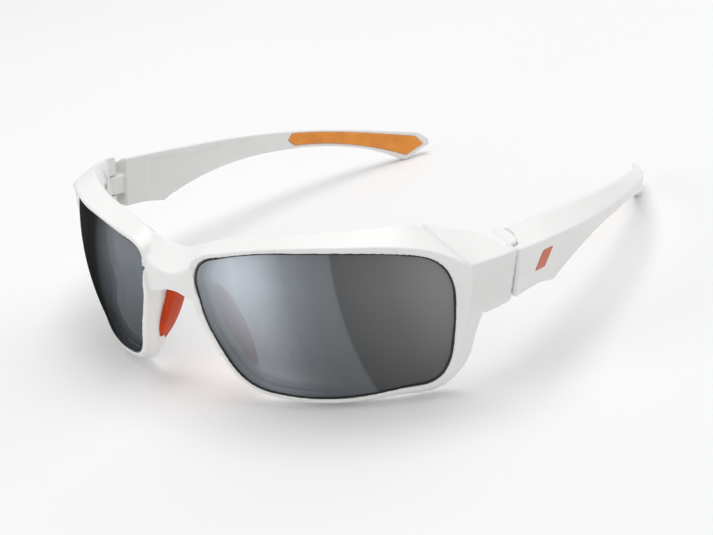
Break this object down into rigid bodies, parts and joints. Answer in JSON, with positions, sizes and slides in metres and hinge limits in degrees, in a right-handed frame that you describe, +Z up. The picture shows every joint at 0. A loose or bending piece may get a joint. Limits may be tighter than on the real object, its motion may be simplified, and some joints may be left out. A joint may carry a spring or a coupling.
{
  "type": "sport sunglasses",
  "caption": "Full-rim wraparound sport sunglasses: dished smoke lenses in a white front, rubber nose pads, and folding white temples with rubber tip grips.",
  "frame": {"origin": "middle of the footprint, on the plane the lower rims and the temple tips stand on", "axes": "+X to the wearer's left, +Y from the lenses towards the temple tips, +Z up off the table; the glasses lie as on a table, pitched 12.7 degrees forward-up from how they are worn"},
  "size_m": [0.142, 0.1504, 0.0428],
  "materials": {
    "shell_white": "satin white injection-moulded nylon",
    "lens_smoke": "smoke tint with a light silver mirror coat",
    "pad_rubber": "matte orange-red elastomer",
    "grip_rubber": "matte orange elastomer",
    "badge_orange": "smooth orange inlay",
    "screw_steel": "plain steel"
  },
  "bodies": {
    "front": {"front_frame": "shell_white", "lens_left": "lens_smoke", "lens_right": "lens_smoke", "nose_pad_left": "pad_rubber", "nose_pad_right": "pad_rubber", "hinge_screw_left": "screw_steel", "hinge_screw_right": "screw_steel"},
    "temple_left_body": {"temple_left": "shell_white", "temple_grip_left": "grip_rubber", "temple_badge_left": "badge_orange"},
    "temple_right_body": {"temple_right": "shell_white", "temple_grip_right": "grip_rubber", "temple_badge_right": "badge_orange"}
  },
  "joints": [
    {"name": "temple_left_hinge", "type": "hinge", "parent": "front", "child": "temple_left_body", "pos_m": [0.0664, -0.03352, 0.02866], "axis": [0, 0.219, 0.9757], "range_deg": [0, 80]},
    {"name": "temple_right_hinge", "type": "hinge", "parent": "front", "child": "temple_right_body", "pos_m": [-0.0664, -0.03352, 0.02866], "axis": [0, -0.219, -0.9757], "range_deg": [0, 72]}
  ]
}
